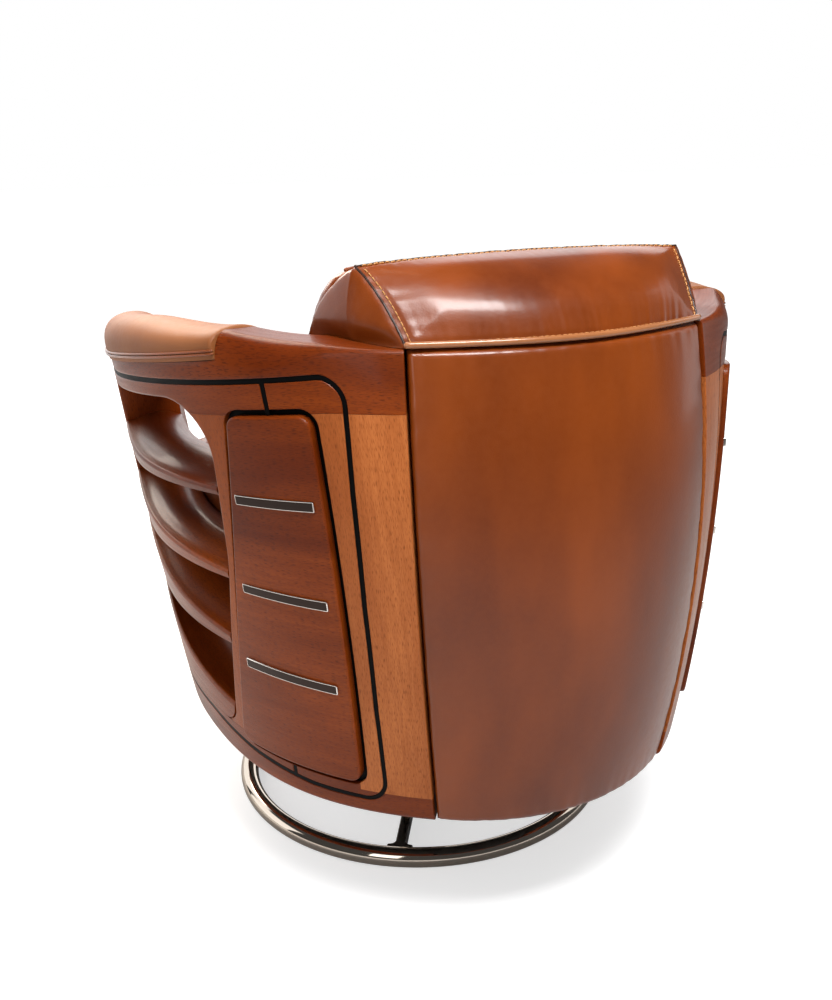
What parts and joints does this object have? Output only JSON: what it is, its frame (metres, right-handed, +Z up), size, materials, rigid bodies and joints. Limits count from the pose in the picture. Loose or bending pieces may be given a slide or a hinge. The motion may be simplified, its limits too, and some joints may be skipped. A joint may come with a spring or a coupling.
{
  "type": "swivel club chair",
  "caption": "Low swivel tub chair in tan leather with bent wood arms that hold open shelves, on a chrome ring base.",
  "frame": {"origin": "on the floor, under the swivel's axis", "axes": "+Z up; the sitter faces -Y, so the upholstered back is at +Y and the sitter's left arm is at +X"},
  "size_m": [0.7796, 0.8637, 0.765],
  "materials": {
    "mahogany": "satin lacquer",
    "stile_wood": "satin lacquer",
    "leather": "glossy, waxed",
    "chrome": "polished",
    "black_line": "black lacquer",
    "plywood": "bare",
    "steel": "plain"
  },
  "bodies": {
    "base": {"base_ring": "chrome", "spoke_1": "chrome", "spoke_2": "chrome", "spoke_3": "chrome", "spoke_4": "chrome", "swivel_column": "chrome", "swivel_plate_lower": "steel", "swivel_race": "steel"},
    "seat": {"arm_pad_left": "leather", "arm_pad_right": "leather", "arm_rail_left": "mahogany", "arm_rail_right": "mahogany", "back_cushion": "leather", "back_frame": "plywood", "back_panel": "leather", "base_board": "plywood", "black_line_left": "black_line", "black_line_right": "black_line", "bottom_rail_left": "mahogany", "bottom_rail_right": "mahogany", "chrome_strip_1_left": "chrome", "chrome_strip_1_right": "chrome", "chrome_strip_2_left": "chrome", "chrome_strip_2_right": "chrome", "chrome_strip_3_left": "chrome", "chrome_strip_3_right": "chrome", "front_border": "leather", "front_frame": "plywood", "front_post_left": "mahogany", "front_post_right": "mahogany", "headrest": "leather", "inner_arm_left": "leather", "inner_arm_right": "leather", "inner_back_board": "plywood", "middle_post_left": "stile_wood", "middle_post_right": "stile_wood", "panel_bed_left": "black_line", "panel_bed_right": "black_line", "plate_bolt_1": "steel", "plate_bolt_2": "steel", "plate_bolt_3": "steel", "plate_bolt_4": "steel", "rear_stile_left": "stile_wood", "rear_stile_right": "stile_wood", "seat_cushion": "leather", "seat_deck": "plywood", "seat_drum": "plywood", "shelf_1_left": "mahogany", "shelf_1_right": "mahogany", "shelf_2_left": "mahogany", "shelf_2_right": "mahogany", "shelf_3_left": "mahogany", "shelf_3_right": "mahogany", "shelf_4_left": "mahogany", "shelf_4_right": "mahogany", "side_panel_left": "mahogany", "side_panel_right": "mahogany", "swivel_plate_upper": "steel"}
  },
  "joints": [
    {"name": "seat_swivel", "type": "hinge", "parent": "base", "child": "seat", "pos_m": [0, 0, 0.147], "axis": [0, 0, 1], "continuous": true}
  ]
}
